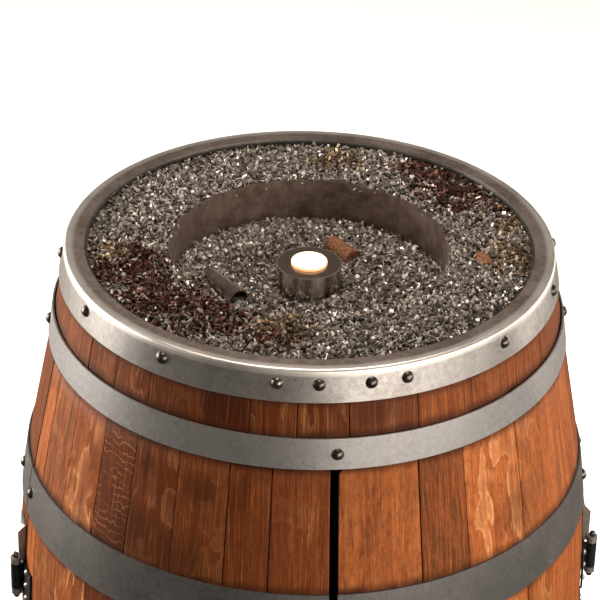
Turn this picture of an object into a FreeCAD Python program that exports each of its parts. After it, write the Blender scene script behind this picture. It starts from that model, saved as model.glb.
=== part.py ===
import FreeCAD, Part
import os
from math import asin, cos, degrees, radians, sin, sqrt

# A barrel cabinet in millimetres: +Z is up, the floor is z = 0 and the doors face -Y.
# Angles round the barrel are degrees from the front, growing towards +X.

Vector = FreeCAD.Vector
CENTRE = Vector(0, 0, 0)
UP = Vector(0, 0, 1)
SIDEWAYS = Vector(1, 0, 0)
QUARTER_TURN = 90
FULL_TURN = 360

# Barrel
barrel_height = 950.0
bilge_radius = 355.0
bend_radius = 1280.0
bend_half_height = 240.0
stave_thickness = 22.0
stave_chamfer = 1.0
rear_stave_count = 19
footer_stave_count = 15
header_joint_angles = (-62.3, -52.5, -42.4, -28.4, -18.2, -8.1, 3.1, 18.6, 31.2, 46.7, 58.3, 72.3)

# Heads of boards, each seated in a groove of the staves
head_thickness = 18.0
head_board_count = 6
head_clearance = 0.3
croze_depth = 5.0
croze_lip = 6.0
bottom_head_lift = 38.0

# Hoops
hoop_clearance = 0.3
hoop_thickness = 2.0
quarter_hoop_width = 37.0
quarter_hoop_overhang = 1.0
quarter_hoop_flare = 1.5
bilge_hoop_rise = 175.0
bilge_hoop_width = 62.0
rim_thickness = 3.0
rim_band_height = 38.0
rim_flange_width = 23.5
rim_corner_radius = 1.5

# Rivets of the hoops
rivet_head_radius = 7.2
rivet_head_height = 5.0
rivet_shank_radius = 3.0
rivet_length = 20.0
rivet_seat = 0.3
rim_rivet_drop = 17.0
rim_rivet_angles = (-93.6, -66, -39.7, -12.6, -3.5, 7.9, 16.1, 43, 69.5,
                    92, 115, 138, 160, 182, 204, 226, 247)
quarter_rivet_angles = (-90.9, 0.6, 87.4, 135, 180, 225)
rear_bilge_rivet_angles = (91, 115, 147, 180, 213, 245, 270)
door_hoop_rivet_angles = (5, 78.3)

# Doors
door_half_angle = 80.25
door_centre_gap = 10.0
door_side_gap = 3.0
door_end_gap = 3.0
left_door_joint_angles = (12.7, 21.7, 32.9, 43.7, 52.9, 63.3, 73.8)
right_door_joint_angles = (18.1, 28.9, 44.4, 53.3, 63.5, 73.5)
rib_thickness = 12.0
rib_width = 40.0
rib_inset = 68.0
rib_end_margin = 30.0

# Screws and bolts
screw_head_radius = 4.0
screw_head_height = 2.2
screw_shank_radius = 2.0
screw_length = 20.0
screw_seat = 0.1
fit_clearance = 0.05

# Hinges
hinge_stand_off = 10.0
hinge_hoop_gap = 25.0
barrel_leaf_height = 100.0
door_leaf_height = 50.0
hinge_leaf_width = 34.0
hinge_leaf_thickness = 2.5
hinge_leaf_clearance = 0.2
hinge_web_thickness = 2.5
hinge_rib_slope = 8.0
hinge_screw_shares = (0.12, 0.5, 0.88)
knuckle_radius = 6.5
knuckle_stack_height = 54.0
knuckle_lift = 3.0
knuckle_shares = (0.16, 0.68, 0.16)
knuckle_gap = 0.4
pin_radius = 2.5
finial_radius = 4.0

# Handles
handle_angle = 7.0
handle_rise = 65.0
handle_spacing = 96.0
handle_reach = 34.0
handle_bar_radius = 5.0
handle_bend_radius = 12.0
handle_foot_radius = 9.0
handle_foot_height = 4.0
handle_seat = 0.1
bolt_head_radius = 4.5
bolt_head_height = 3.0
bolt_shank_radius = 2.0
bolt_grip = 12.0

# Shelf, its cleats and the door catches
shelf_drop = 15.0
shelf_thickness = 18.0
shelf_gap = 6.0
cleat_depth = 18.0
cleat_height = 28.0
cleat_half_angle = 9.0
cleat_angles = {"right": 110, "back": 180, "left": 250}
cleat_screw_bite = 16.0
catch_angle = 12.0
catch_gap = 0.5
magnet_radius = 5.0
magnet_length = 14.0
strike_thickness = 2.0
strike_width = 40.0
strike_height = 18.0
strike_screw_spacing = 28.0

# Display top: the pan, the ring of the well and the beds of metal chips
well_depth = 92.0
tray_depth = 33.0
pan_thickness = 1.5
pan_clearance = 0.5
well_radius = 165.5
well_ring_thickness = 3.0
well_ring_drop = 7.0
bed_clearance = 0.3
outer_bed_drop = 8.0
well_bed_depth = 30.5
mound_height = 4.0
mound_root = 1.0
outer_mound_count = 16
outer_mound_start = 21.2
outer_mound_share = 0.42
well_mound_count = 8
well_mound_start = 31.7
well_mound_share = 0.3

# Lamp in the well
lamp_radius = 39.0
lamp_wall = 3.0
lamp_base_thickness = 3.0
lamp_spigot_height = 4.0
cell_radius = 5.25
cell_length = 44.5
cell_count = 3
cell_ring_radius = 18.0
contact_gap = 0.3
contact_radius = 2.5
contact_height = 2.4
board_thickness = 1.6
switch_radius = 8.0
switch_height = 1.4
lens_radius = 21.5
lens_wall = 2.0
lens_rise = 4.0
lens_corner_radius = 1.5
lens_flange_width = 3.5
lens_flange_thickness = 1.5
lens_clearance = 0.3
lens_travel = 2.0

# Things lying in the beds
tube_far_radius = 8.0
tube_near_radius = 12.5
tube_wall = 1.5
tube_length = 68.0
tube_distance = 102.3
tube_bearing = -82.9
tube_heading = 25.7
cork_radius = 11.5
cork_length = 45.0
cork_chamfer = 1.0
cork_distance = 86.8
cork_bearing = 146.3
cork_heading = 31.5
short_cork_length = 28.0
short_cork_distance_share = 0.406
short_cork_bearing = 77.4
short_cork_heading = 10.0
tube_sink_share = 0.2
cork_sink_share = 0.35
short_cork_sink_share = 0.75

# Sizes that follow from the ones above
mid_height = barrel_height / 2
bend_angle = asin(bend_half_height / bend_radius)
bend_centre = bilge_radius - bend_radius
rim_outer_corner = rim_corner_radius + rim_thickness
stave_bottom = rim_thickness
stave_top = barrel_height - rim_thickness - pan_thickness
pan_floor = barrel_height - well_depth
top_head_bottom = pan_floor - head_thickness
header_bottom = top_head_bottom - croze_lip
door_top = header_bottom - door_end_gap
door_bottom = barrel_height - door_top
footer_top = barrel_height - header_bottom
quarter_hoop_bottom = header_bottom - quarter_hoop_overhang
hinge_radius = bilge_radius + hinge_stand_off
side_gap_angle = degrees(asin(door_side_gap / 2 / bilge_radius))
centre_gap_angle = degrees(asin(door_centre_gap / 2 / bilge_radius))
door_edge_angle = door_half_angle - side_gap_angle
rear_edge_angle = door_half_angle + side_gap_angle
handle_height = mid_height + handle_rise
shelf_height = mid_height - shelf_drop
shelf_middle = shelf_height + shelf_thickness / 2


# Shapes that follow the barrel

def skin_radius(height, offset):
    """Radius at a height of the barrel's outer skin moved outwards by offset."""
    away = abs(height - mid_height)
    reach = bend_radius + offset
    if away <= reach * sin(bend_angle):
        return bend_centre + sqrt(reach ** 2 - away ** 2)
    return bend_centre + (reach - away * sin(bend_angle)) / cos(bend_angle)


def skin_tilt(height):
    """Radians by which the skin's outward normal points above the level."""
    limit = sin(bend_angle)
    return asin(max(-limit, min(limit, (height - mid_height) / bend_radius)))


def skin_point(height, offset):
    """Point of the moved skin in the XZ plane."""
    return Vector(skin_radius(height, offset), 0, height)


def skin_edges(low, high, offset):
    """Edges of the moved skin line from low to high: a bent middle and straight ends."""
    bend_half = (bend_radius + offset) * sin(bend_angle)
    breaks = [z for z in (mid_height - bend_half, mid_height + bend_half) if low < z < high]
    heights = [low] + breaks + [high]
    edges = []
    for start, end in zip(heights, heights[1:]):
        middle = (start + end) / 2
        points = [skin_point(z, offset) for z in (start, middle, end)]
        if abs(middle - mid_height) < bend_half:
            edges.append(Part.Arc(*points).toShape())
        else:
            edges.append(Part.makeLine(points[0], points[2]))
    return edges


def face_of(edges):
    """Face inside a closed run of edges."""
    return Part.Face(Part.Wire(Part.__sortEdges__(edges)))


def skin_face(low, high, inner_offset, outer_offset):
    """Section of a layer of the barrel between two heights."""
    ends = [Part.makeLine(skin_point(z, inner_offset), skin_point(z, outer_offset)) for z in (low, high)]
    return face_of(skin_edges(low, high, inner_offset) + skin_edges(low, high, outer_offset) + ends)


def section(corners):
    """Face in the XZ plane from (radius, height) corners."""
    points = [Vector(radius, 0, height) for radius, height in corners]
    return Part.Face(Part.makePolygon(points + points[:1]))


def sector(face, from_angle, to_angle):
    """Solid that a section sweeps round the barrel's axis between two angles."""
    turned = face.copy()
    turned.rotate(CENTRE, UP, from_angle - QUARTER_TURN)
    return turned.revolve(CENTRE, UP, to_angle - from_angle)


def ring(face):
    """Solid that a section sweeps in a full turn."""
    return face.revolve(CENTRE, UP, FULL_TURN)


def core(low, high, offset):
    """Everything inside the moved skin between two heights."""
    axis = [Vector(0, 0, low), Vector(0, 0, high)]
    rim_points = [skin_point(low, offset), skin_point(high, offset)]
    ends = [Part.makeLine(*pair) for pair in zip(axis, rim_points)]
    return ring(face_of(skin_edges(low, high, offset) + ends + [Part.makeLine(*axis)]))


def arc_angle(length, radius):
    """Degrees that a length takes up round a circle."""
    return degrees(length / radius)


def bearing(angle, distance, height):
    """Point at an angle round the barrel, a distance from its axis."""
    return Vector(distance * sin(radians(angle)), -distance * cos(radians(angle)), height)


def on_skin(shape, spot, inward=False):
    """Copy of a shape modelled along +Z, stood on the skin at (angle, height, offset)."""
    angle, height, offset = spot
    tilt = skin_tilt(height)
    normal = bearing(angle, cos(tilt), sin(tilt))
    across = bearing(angle + QUARTER_TURN, 1, 0)
    along = normal.cross(across)
    if inward:
        normal = -normal
        across = -across
    place = FreeCAD.Placement(bearing(angle, skin_radius(height, offset), height),
                              FreeCAD.Rotation(across, along, normal, "ZXY"))
    copy = shape.copy()
    copy.Placement = place
    return copy


# Fasteners

def peg(head_radius, head_height, shank_radius, length):
    """Dome-headed pin along Z, with the underside of its head at z = 0."""
    dome_radius = (head_radius ** 2 + head_height ** 2) / (2 * head_height)
    half = asin(head_radius / dome_radius) / 2
    crown = Vector(0, 0, head_height)
    shoulder = Vector(dome_radius * sin(half), 0, head_height - dome_radius * (1 - cos(half)))
    corners = [Vector(head_radius, 0, 0), Vector(shank_radius, 0, 0), Vector(shank_radius, 0, -length),
               Vector(0, 0, -length), crown]
    lines = [Part.makeLine(start, end) for start, end in zip(corners, corners[1:])]
    return ring(face_of(lines + [Part.Arc(corners[0], shoulder, crown).toShape()]))


def fasteners(size, spots, inward=False):
    """Pegs of one size at spots on the skin, and the bores that they sit in."""
    pin = peg(*size)
    shank_radius, length = size[2:]
    depth = length + fit_clearance
    bore = Part.makeCylinder(shank_radius + fit_clearance, depth, Vector(0, 0, -depth))
    pegs = [on_skin(pin, spot, inward) for spot in spots]
    bores = [on_skin(bore, spot, inward) for spot in spots]
    return pegs, bores


def drilled(solids, cuts):
    """The solids with each bore or groove that reaches them cut away."""
    result = []
    for solid in solids:
        near = [cut for cut in cuts if cut.BoundBox.intersect(solid.BoundBox)]
        result += solid.cut(near).Solids if near else [solid]
    return result


rivet = (rivet_head_radius, rivet_head_height, rivet_shank_radius, rivet_length)
screw = (screw_head_radius, screw_head_height, screw_shank_radius, screw_length)
cleat_screw = (screw_head_radius, screw_head_height, screw_shank_radius, cleat_depth + cleat_screw_bite)
bolt = (bolt_head_radius, bolt_head_height, bolt_shank_radius, stave_thickness + bolt_grip)


# Staves

def croze_face(head_bottom):
    """Section of the groove that a head sits in."""
    inner_radius = skin_radius(head_bottom + head_thickness / 2, -stave_thickness)
    low = head_bottom - head_clearance
    high = head_bottom + head_thickness + head_clearance
    near = inner_radius - croze_depth
    far = inner_radius + croze_depth
    return section([(near, low), (far, low), (far, high), (near, high)])


def foot_bevel_face():
    """Section of the bevel that lets the stave ends into the rounded corner of the foot hoop."""
    corner = skin_radius(stave_bottom, 0)
    bevel = rim_corner_radius
    return section([(corner - bevel, stave_bottom), (corner + bevel, stave_bottom),
                    (corner + bevel, stave_bottom + 2 * bevel)])


def stave(face, from_angle, to_angle):
    """One stave with its long outer edges broken."""
    solid = sector(face, from_angle, to_angle)
    long_edges = []
    for edge in solid.Edges:
        depths = [skin_radius(vertex.Z, 0) - Vector(vertex.X, vertex.Y, 0).Length
                  for vertex in edge.Vertexes]
        if max(depths) < stave_chamfer and edge.BoundBox.ZLength > rim_band_height:
            long_edges.append(edge)
    return solid.makeChamfer(stave_chamfer, long_edges)


def staves(face, joints):
    """Staves side by side between the angles of their joints."""
    return [stave(face, start, end) for start, end in zip(joints, joints[1:])]


def even_joints(from_angle, to_angle, count):
    """Angles of the joints between staves of one width."""
    return [from_angle + (to_angle - from_angle) * step / count for step in range(count + 1)]


def head(head_bottom):
    """Boards side by side that fill one end of the barrel."""
    radius = skin_radius(head_bottom + head_thickness / 2, -stave_thickness) + croze_depth - head_clearance
    disc = Part.makeCylinder(radius, head_thickness, Vector(0, 0, head_bottom))
    width = 2 * radius / head_board_count
    boards = []
    for step in range(head_board_count):
        strip = Part.makeBox(2 * radius, width, head_thickness,
                             Vector(-radius, step * width - radius, head_bottom))
        boards += disc.common(strip).Solids
    return boards


# Hoops

def mirrored_height(shape):
    """The same shape at the other end of the barrel."""
    return shape.mirror(Vector(0, 0, mid_height), UP)


def rim():
    """Band with a flange that caps the stave ends, its corner rounded inside and out."""
    low = barrel_height - rim_band_height
    under = barrel_height - rim_thickness
    inner = hoop_clearance
    outer = hoop_clearance + rim_thickness
    corner = skin_radius(barrel_height, outer)
    inner_corner = skin_radius(under, inner)
    flange = corner - rim_flange_width
    cap = ring(section([(skin_radius(low, inner), low), (skin_radius(low, outer), low),
                        (corner, barrel_height), (flange, barrel_height), (flange, under),
                        (inner_corner, under)]))
    for radius, height, fillet in ((corner, barrel_height, rim_outer_corner),
                                   (inner_corner, under, rim_corner_radius)):
        edges = [edge for edge in cap.Edges if edge.BoundBox.ZLength < hoop_clearance
                 and abs(edge.BoundBox.ZMax - height) < hoop_clearance
                 and abs(edge.BoundBox.XMax - radius) < hoop_clearance]
        cap = cap.makeFillet(fillet, edges)
    return cap


def quarter_hoop():
    """Conical band whose upper edge stands off the staves."""
    low = quarter_hoop_bottom
    high = low + quarter_hoop_width
    inner = hoop_clearance
    outer = hoop_clearance + hoop_thickness
    return ring(section([(skin_radius(low, inner), low), (skin_radius(low, outer), low),
                         (skin_radius(high, outer + quarter_hoop_flare), high),
                         (skin_radius(high, inner + quarter_hoop_flare), high)]))


def bilge_hoop(from_angle, to_angle):
    """Part of the upper bilge hoop."""
    middle = mid_height + bilge_hoop_rise
    face = skin_face(middle - bilge_hoop_width / 2, middle + bilge_hoop_width / 2,
                     hoop_clearance, hoop_clearance + hoop_thickness)
    return sector(face, from_angle, to_angle)


# Hinges, modelled for the right door

def hinge_frame(shape):
    """Copy of a shape modelled with +X outwards and +Y away from the door, turned to the hinge."""
    return shape.copy().rotate(CENTRE, UP, door_half_angle - QUARTER_TURN)


def knuckle_span(index, bottom):
    """Bottom and height of one knuckle, counted from the lowest."""
    low = bottom + knuckle_lift + sum(knuckle_shares[:index]) * knuckle_stack_height
    return low + knuckle_gap / 2, knuckle_shares[index] * knuckle_stack_height - knuckle_gap


def hinge_leaf(bottom, height, side, knuckles):
    """Leaf on the skin with webs out to its knuckles: side is 1 on the barrel, -1 on the door."""
    top = bottom + height
    outer_offset = hinge_leaf_clearance + hinge_leaf_thickness
    near = door_half_angle + side * side_gap_angle
    far = near + side * arc_angle(hinge_leaf_width, bilge_radius)
    face = skin_face(bottom, top, hinge_leaf_clearance, outer_offset)
    leaf = sector(face, min(near, far), max(near, far))
    inside = core(bottom, top, hinge_leaf_clearance + hinge_leaf_thickness / 2)
    web_start = bilge_radius - stave_thickness
    web_side = side * door_side_gap / 2
    web_edge = min(web_side, web_side + side * hinge_web_thickness)
    webs = []
    for index in knuckles:
        low, span = knuckle_span(index, bottom)
        webs.append(section([(web_start, low), (hinge_radius, low),
                             (hinge_radius, low + span), (web_start, low + span)]))
        barrel = Part.makeCylinder(knuckle_radius, span, Vector(hinge_radius, 0, low))
        leaf = leaf.fuse(hinge_frame(barrel))
    if side > 0:
        rib_reach = hinge_radius - finial_radius - knuckle_gap
        webs.append(section([(web_start, low), (rib_reach, low), (rib_reach, top - hinge_rib_slope),
                             (rib_reach - hinge_rib_slope, top), (web_start, top)]))
    for web in webs:
        web.translate(Vector(0, web_edge, 0))
        leaf = leaf.fuse(hinge_frame(web.extrude(Vector(0, hinge_web_thickness, 0))).cut(inside))
    hole = Part.makeCylinder(pin_radius + fit_clearance, height, Vector(hinge_radius, 0, bottom))
    spots = [((near + far) / 2, bottom + share * height, outer_offset + screw_seat)
             for share in hinge_screw_shares]
    pegs, bores = fasteners(screw, spots)
    return leaf.removeSplitter().cut([hinge_frame(hole)] + bores).Solids[0], pegs, bores


def hinge_pin(bottom):
    """Pin with a ball at each end, clear of the knuckles by their own gap."""
    low = bottom + knuckle_lift
    high = low + knuckle_stack_height
    shaft = Part.makeCylinder(pin_radius, high - low, Vector(hinge_radius, 0, low))
    seat = sqrt(finial_radius ** 2 - pin_radius ** 2)
    balls = [Part.makeSphere(finial_radius, Vector(hinge_radius, 0, height))
             for height in (low - seat, high + seat)]
    between = Part.makeCylinder(finial_radius, high - low, Vector(hinge_radius, 0, low))
    return hinge_frame(shaft.fuse([ball.cut(between) for ball in balls]))


upper_hinge_top = mid_height + bilge_hoop_rise - bilge_hoop_width / 2 - hinge_hoop_gap
upper_hinge_bottom = upper_hinge_top - barrel_leaf_height
lower_hinge_bottom = barrel_height - upper_hinge_bottom - barrel_leaf_height
door_knuckles = range(1, len(knuckle_shares), 2)
barrel_knuckles = range(0, len(knuckle_shares), 2)


# Doors, modelled as right doors

def handle():
    """Bent bar on two feet that are cut to the curve of the door, and its bolts with their bores."""
    half = handle_spacing / 2
    bend = handle_bend_radius
    slack = bend * (1 - cos(radians(QUARTER_TURN / 2)))
    path = []
    for side in (-1, 1):
        foot = Vector(0, side * half, -handle_foot_height)
        rise = Vector(0, side * half, handle_reach - bend)
        curve = Vector(0, side * (half - slack), handle_reach - slack)
        level = Vector(0, side * (half - bend), handle_reach)
        path += [Part.makeLine(foot, rise), Part.Arc(rise, curve, level).toShape()]
    path.append(Part.makeLine(Vector(0, bend - half, handle_reach), Vector(0, half - bend, handle_reach)))
    wire = Part.Wire(Part.__sortEdges__(path))
    start = wire.OrderedVertexes[0].Point
    outline = Part.Wire(Part.makeCircle(handle_bar_radius, start, UP))
    bar = wire.makePipeShell([outline], True, False)
    feet = [Part.makeCylinder(handle_foot_radius, 2 * handle_foot_height,
                              Vector(0, side * half, -handle_foot_height)) for side in (-1, 1)]
    pull = on_skin(bar.fuse(feet), (handle_angle, handle_height, 0))
    pull = pull.cut(core(handle_height - handle_spacing, handle_height + handle_spacing, handle_seat))
    tilt = skin_tilt(handle_height)
    spots = [(handle_angle, handle_height + side * half * cos(tilt), -stave_thickness - screw_seat)
             for side in (-1, 1)]
    bolts, bores = fasteners(bolt, spots, True)
    return pull.cut(bores).Solids[0], bolts, bores


def rib_spots(joints, height):
    """Spots for one screw in the middle of each stave that a rib crosses."""
    middles = [(start + end) / 2 for start, end in zip(joints, joints[1:])]
    return [(angle, height, -stave_thickness - rib_thickness - screw_seat) for angle in middles]


def door_shapes(inner_joints):
    """Nodes of one door, by their plain names."""
    joints = [centre_gap_angle] + list(inner_joints) + [door_edge_angle]
    boards = staves(skin_face(door_bottom, door_top, -stave_thickness, 0), joints)
    hoop = bilge_hoop(centre_gap_angle, door_edge_angle)
    hoops = [hoop, mirrored_height(hoop)]
    hoop_offset = hoop_clearance + hoop_thickness + rivet_seat / 2
    rivet_spots = [(angle, mid_height + rise, hoop_offset) for angle in door_hoop_rivet_angles
                   for rise in (bilge_hoop_rise, -bilge_hoop_rise)]
    rivets, rivet_bores = fasteners(rivet, rivet_spots)

    rib_heights = (door_top - rib_inset, door_bottom + rib_inset)
    end_angle = arc_angle(rib_end_margin, bilge_radius)
    ribs = []
    screw_spots = []
    for height in rib_heights:
        face = skin_face(height - rib_width / 2, height + rib_width / 2,
                         -stave_thickness - rib_thickness, -stave_thickness)
        ribs.append(sector(face, centre_gap_angle + end_angle / 2, door_edge_angle - end_angle / 2))
        screw_spots += rib_spots(joints, height)

    strike_angle = arc_angle(strike_width, bilge_radius) / 2
    strike = sector(skin_face(shelf_middle - strike_height / 2, shelf_middle + strike_height / 2,
                              -stave_thickness - strike_thickness, -stave_thickness),
                    catch_angle - strike_angle, catch_angle + strike_angle)
    strike_screw_angle = arc_angle(strike_screw_spacing, bilge_radius) / 2
    screw_spots += [(catch_angle + side * strike_screw_angle, shelf_middle,
                     -stave_thickness - strike_thickness - screw_seat) for side in (-1, 1)]
    screws, screw_bores = fasteners(screw, screw_spots, True)

    leaves = []
    for bottom in (upper_hinge_bottom, lower_hinge_bottom):
        leaf, leaf_screws, leaf_bores = hinge_leaf(bottom, door_leaf_height, -1, door_knuckles)
        leaves.append(leaf)
        screws += leaf_screws
        screw_bores += leaf_bores
    pull, bolts, bolt_bores = handle()
    bores = rivet_bores + screw_bores + bolt_bores
    return {
        "door_staves": drilled(boards, bores),
        "door_upper_hoop": drilled(hoops[:1], rivet_bores),
        "door_lower_hoop": drilled(hoops[1:], rivet_bores),
        "door_rivets": rivets,
        "door_ribs": drilled(ribs, screw_bores),
        "door_screws": screws,
        "upper_hinge_door_leaf": leaves[:1],
        "lower_hinge_door_leaf": leaves[1:],
        "door_handle": [pull],
        "door_handle_bolts": bolts,
        "door_strike_plate": drilled([strike], screw_bores),
    }


# Display top

def level_axis(length, distance, angle, heading, height):
    """Start and direction of a level axis along a heading, its middle at a bearing."""
    along = bearing(heading, 1, 0)
    return bearing(angle, distance, height) - along * (length / 2), along


def lying_cork(radius, length, place):
    """Cylinder lying level."""
    return Part.makeCylinder(radius, length, *level_axis(length, *place))


def lying_cone(offset, length, place):
    """Outside of the tapered tube, moved outwards by an offset."""
    return Part.makeCone(tube_far_radius + offset, tube_near_radius + offset, length,
                         *level_axis(length, *place))


def broken_ends(cylinder):
    """Cork with the edges of both ends broken."""
    circles = [edge for edge in cylinder.Edges if edge.isClosed()]
    return cylinder.makeChamfer(cork_chamfer, circles)


def heaped_bed(section_sizes, count, start, spread_share):
    """Ring of chips with shallow mounds evenly round the middle of its top."""
    inner, outer, low, top = section_sizes
    bed = ring(section([(inner, low), (outer, low), (outer, top), (inner, top)]))
    spread = spread_share * (outer - inner)
    dome_radius = (spread ** 2 + mound_height ** 2) / (2 * mound_height)
    crown = top + mound_height
    foot = degrees(asin((dome_radius - mound_height - mound_root) / dome_radius))
    mounds = []
    for step in range(count):
        centre = bearing(start + FULL_TURN * step / count, (inner + outer) / 2, crown - dome_radius)
        mounds.append(Part.makeSphere(dome_radius, centre, UP, foot, QUARTER_TURN, FULL_TURN))
    return bed.fuse(mounds)


def display_shapes():
    """Nodes of the pan, the beds and the things lying in them."""
    floor_top = pan_floor + pan_thickness
    tray = barrel_height - tray_depth
    wall = skin_radius(stave_top, -stave_thickness) - pan_clearance
    lip = skin_radius(barrel_height, 0) - rim_outer_corner
    ring_outer = well_radius + well_ring_thickness
    well_wall = ring_outer + pan_clearance
    thick = pan_thickness
    pan = ring(section([(0, pan_floor), (well_wall + thick, pan_floor), (well_wall + thick, tray - thick),
                        (wall, tray - thick), (wall, stave_top), (lip, stave_top), (lip, stave_top + thick),
                        (wall - thick, stave_top + thick), (wall - thick, tray), (well_wall, tray),
                        (well_wall, floor_top), (0, floor_top)]))
    ring_top = barrel_height - well_ring_drop
    well_ring = ring(section([(well_radius, floor_top), (ring_outer, floor_top),
                              (ring_outer, ring_top), (well_radius, ring_top)]))
    outer_top = barrel_height - outer_bed_drop
    outer_bed_inner = ring_outer + bed_clearance
    outer_bed_outer = wall - thick - bed_clearance
    outer_bed = heaped_bed((outer_bed_inner, outer_bed_outer, tray, outer_top),
                           outer_mound_count, outer_mound_start, outer_mound_share)
    well_top = floor_top + well_bed_depth
    well_inner = lamp_radius + bed_clearance
    well_outer = well_radius - bed_clearance
    well_bed = heaped_bed((well_inner, well_outer, floor_top, well_top),
                          well_mound_count, well_mound_start, well_mound_share)

    tube_place = (tube_distance, tube_bearing, tube_heading,
                  well_top + tube_near_radius * (1 - 2 * tube_sink_share))
    cork_place = (cork_distance, cork_bearing, cork_heading,
                  well_top + cork_radius * (1 - 2 * cork_sink_share))
    short_distance = outer_bed_inner + short_cork_distance_share * (outer_bed_outer - outer_bed_inner)
    short_place = (short_distance, short_cork_bearing, short_cork_heading,
                   outer_top + cork_radius * (1 - 2 * short_cork_sink_share))
    tube = lying_cone(0, tube_length, tube_place)
    bore = lying_cone(-tube_wall, tube_length, tube_place)
    room = 2 * bed_clearance
    tube_room = lying_cone(bed_clearance, tube_length + room, tube_place)
    cork_room = lying_cork(cork_radius + bed_clearance, cork_length + room, cork_place)
    short_room = lying_cork(cork_radius + bed_clearance, short_cork_length + room, short_place)
    return {
        "top_pan": [pan],
        "well_ring": [well_ring],
        "outer_chip_bed": outer_bed.cut(short_room).Solids,
        "well_chip_bed": well_bed.cut([tube_room, cork_room]).Solids,
        "display_tube": [tube.cut(bore)],
        "whole_cork": [broken_ends(lying_cork(cork_radius, cork_length, cork_place))],
        "short_cork": [broken_ends(lying_cork(cork_radius, short_cork_length, short_place))],
    }


def lamp_shapes():
    """Nodes of the lamp, stacked up from the floor of the pan."""
    bottom = pan_floor + pan_thickness
    base_top = bottom + lamp_base_thickness
    cell_bottom = base_top + contact_gap
    contact_bottom = cell_bottom + cell_length + contact_gap
    board_bottom = contact_bottom + contact_height
    board_top = board_bottom + board_thickness
    switch_top = board_top + switch_height
    flange_bottom = switch_top + lens_clearance + lens_travel
    flange_top = flange_bottom + lens_flange_thickness
    ceiling = flange_top + lens_clearance
    housing_top = ceiling + lamp_wall
    lens_top = housing_top + lens_rise

    bore = lamp_radius - lamp_wall
    hole = lens_radius + lens_clearance
    housing = ring(section([(bore, base_top), (lamp_radius, base_top), (lamp_radius, housing_top),
                            (hole, housing_top), (hole, ceiling), (bore, ceiling)]))
    spigot_outer = bore - fit_clearance
    spigot_inner = spigot_outer - lamp_wall
    spigot_top = base_top + lamp_spigot_height
    base = ring(section([(0, bottom), (lamp_radius, bottom), (lamp_radius, base_top),
                         (spigot_outer, base_top), (spigot_outer, spigot_top),
                         (spigot_inner, spigot_top), (spigot_inner, base_top), (0, base_top)]))
    cell_angles = [FULL_TURN * step / cell_count for step in range(cell_count)]
    cells = [Part.makeCylinder(cell_radius, cell_length, bearing(angle, cell_ring_radius, cell_bottom))
             for angle in cell_angles]
    contacts = [Part.makeCylinder(contact_radius, contact_height,
                                  bearing(angle, cell_ring_radius, contact_bottom)) for angle in cell_angles]
    board = Part.makeCylinder(bore - lens_clearance, board_thickness, Vector(0, 0, board_bottom))
    switch = Part.makeCylinder(switch_radius, switch_height, Vector(0, 0, board_top))
    flange = lens_radius + lens_flange_width
    lens_bore = lens_radius - lens_wall
    lens_ceiling = lens_top - lens_wall
    lens = ring(section([(0, lens_ceiling), (lens_bore, lens_ceiling), (lens_bore, flange_bottom),
                         (flange, flange_bottom), (flange, flange_top), (lens_radius, flange_top),
                         (lens_radius, lens_top), (0, lens_top)]))
    crown = [edge for edge in lens.Edges if edge.BoundBox.ZMin > lens_top - lens_clearance
             and abs(edge.BoundBox.XMax - lens_radius) < lens_clearance and edge.isClosed()]
    return {
        "lamp_base": [base],
        "lamp_housing": [housing],
        "lamp_cells": cells,
        "lamp_light_board": [board.fuse(contacts + [switch])],
        "lamp_lens": [lens.makeFillet(lens_corner_radius, crown)],
    }


# Inside

def shelf_shapes():
    """Nodes of the shelf, its cleats and the magnets, with the bores for the cleat screws."""
    radius = skin_radius(shelf_middle, -stave_thickness) - shelf_gap
    shelf = Part.makeCylinder(radius, shelf_thickness, Vector(0, 0, shelf_height))
    face_radius = skin_radius(shelf_middle, -stave_thickness - strike_thickness) - catch_gap
    magnets = []
    sockets = []
    for angle in (-catch_angle, catch_angle):
        inner_end = bearing(angle, face_radius - magnet_length, shelf_middle)
        outwards = bearing(angle, 1, 0)
        magnets.append(Part.makeCylinder(magnet_radius, magnet_length, inner_end, outwards))
        sockets.append(Part.makeCylinder(magnet_radius + fit_clearance, magnet_length, inner_end, outwards))
    cleat_middle = shelf_height - cleat_height / 2
    cleat_face = skin_face(shelf_height - cleat_height, shelf_height, -stave_thickness - cleat_depth,
                           -stave_thickness)
    screw_offset = -stave_thickness - cleat_depth - screw_seat
    spots = [(angle + side * cleat_half_angle / 2, cleat_middle, screw_offset)
             for angle in cleat_angles.values() for side in (-1, 1)]
    screws, bores = fasteners(cleat_screw, spots, True)
    shapes = {"shelf": shelf.cut(sockets).Solids, "catch_magnets": magnets, "cleat_screws": screws}
    for side, angle in cleat_angles.items():
        cleat = sector(cleat_face, angle - cleat_half_angle, angle + cleat_half_angle)
        shapes[side + "_shelf_cleat"] = drilled([cleat], bores)
    return shapes, bores


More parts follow.
